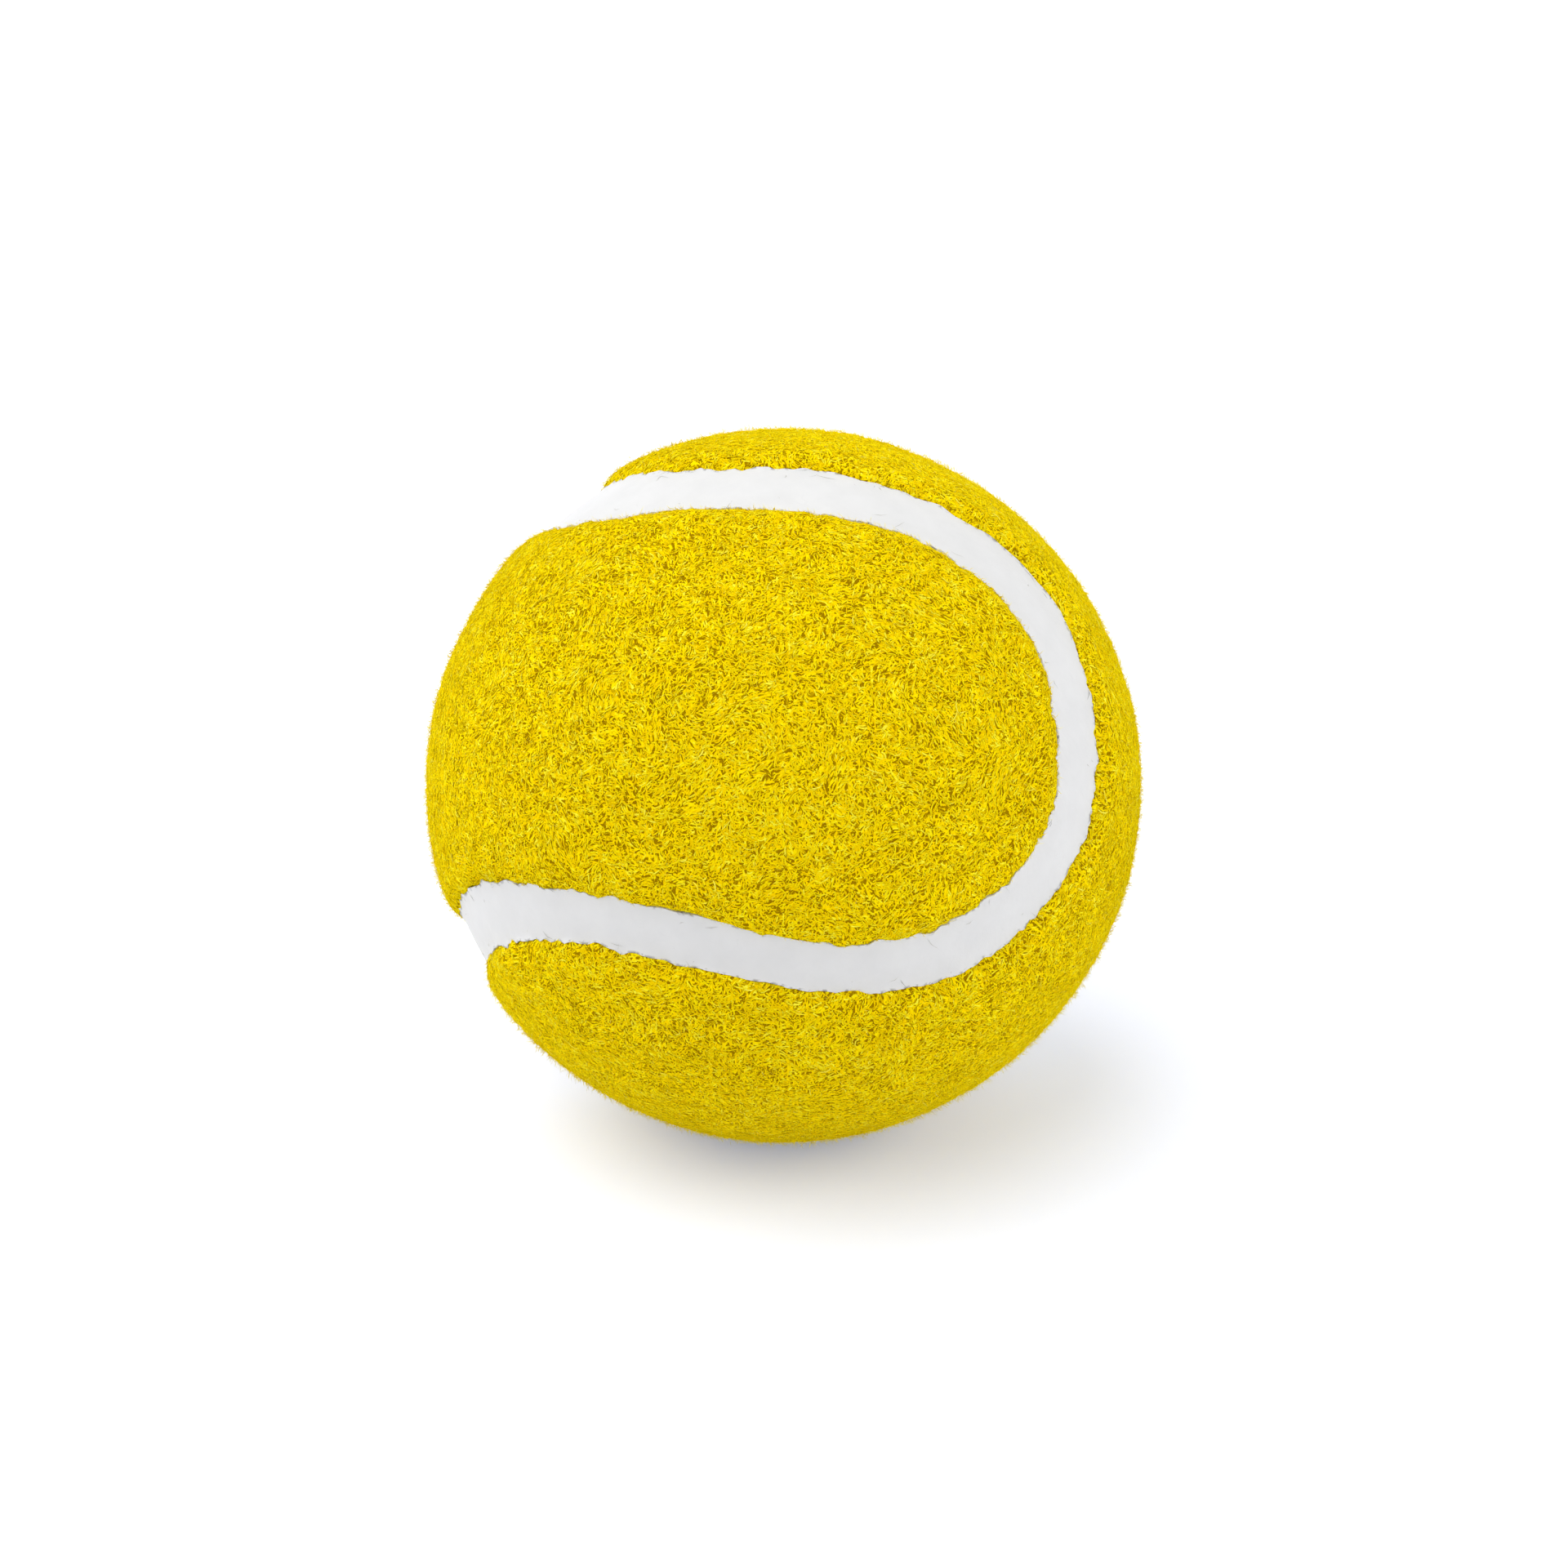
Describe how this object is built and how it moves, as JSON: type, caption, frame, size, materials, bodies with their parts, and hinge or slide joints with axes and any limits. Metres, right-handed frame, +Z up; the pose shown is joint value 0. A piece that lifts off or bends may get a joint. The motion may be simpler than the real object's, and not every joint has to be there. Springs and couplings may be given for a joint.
{
  "type": "pet ball",
  "caption": "Hollow rubber ball covered with yellow needled felt panels, with a recessed white rubber seam between them, for a pet to chase and fetch.",
  "frame": {"origin": "centre of the ball", "axes": "+Z up with the ball lying on the floor as in the picture, +X to the right and -Y towards the viewer"},
  "size_m": [0.065, 0.064, 0.0644],
  "materials": {
    "core_rubber": "dark grey-brown moulded rubber, matte, with a ground rim",
    "joint_cement": "cured tan rubber cement, satin, squeezed into a bead inside",
    "panel_cement": "cured cream rubber cement, rolled on, matte",
    "felt": "bright yellow needled felt with a short tangled pile and loose fibres",
    "seam_rubber": "off-white vulcanised rubber, matte and smooth, with faint mottling and ragged edges"
  },
  "bodies": {
    "root": {"core_shell_lower": "core_rubber", "core_shell_upper": "core_rubber", "core_joint_cement": "joint_cement", "panel_cement_front": "panel_cement", "panel_cement_back": "panel_cement", "felt_panel_front": "felt", "felt_panel_back": "felt", "seam_band": "seam_rubber"}
  },
  "joints": []
}
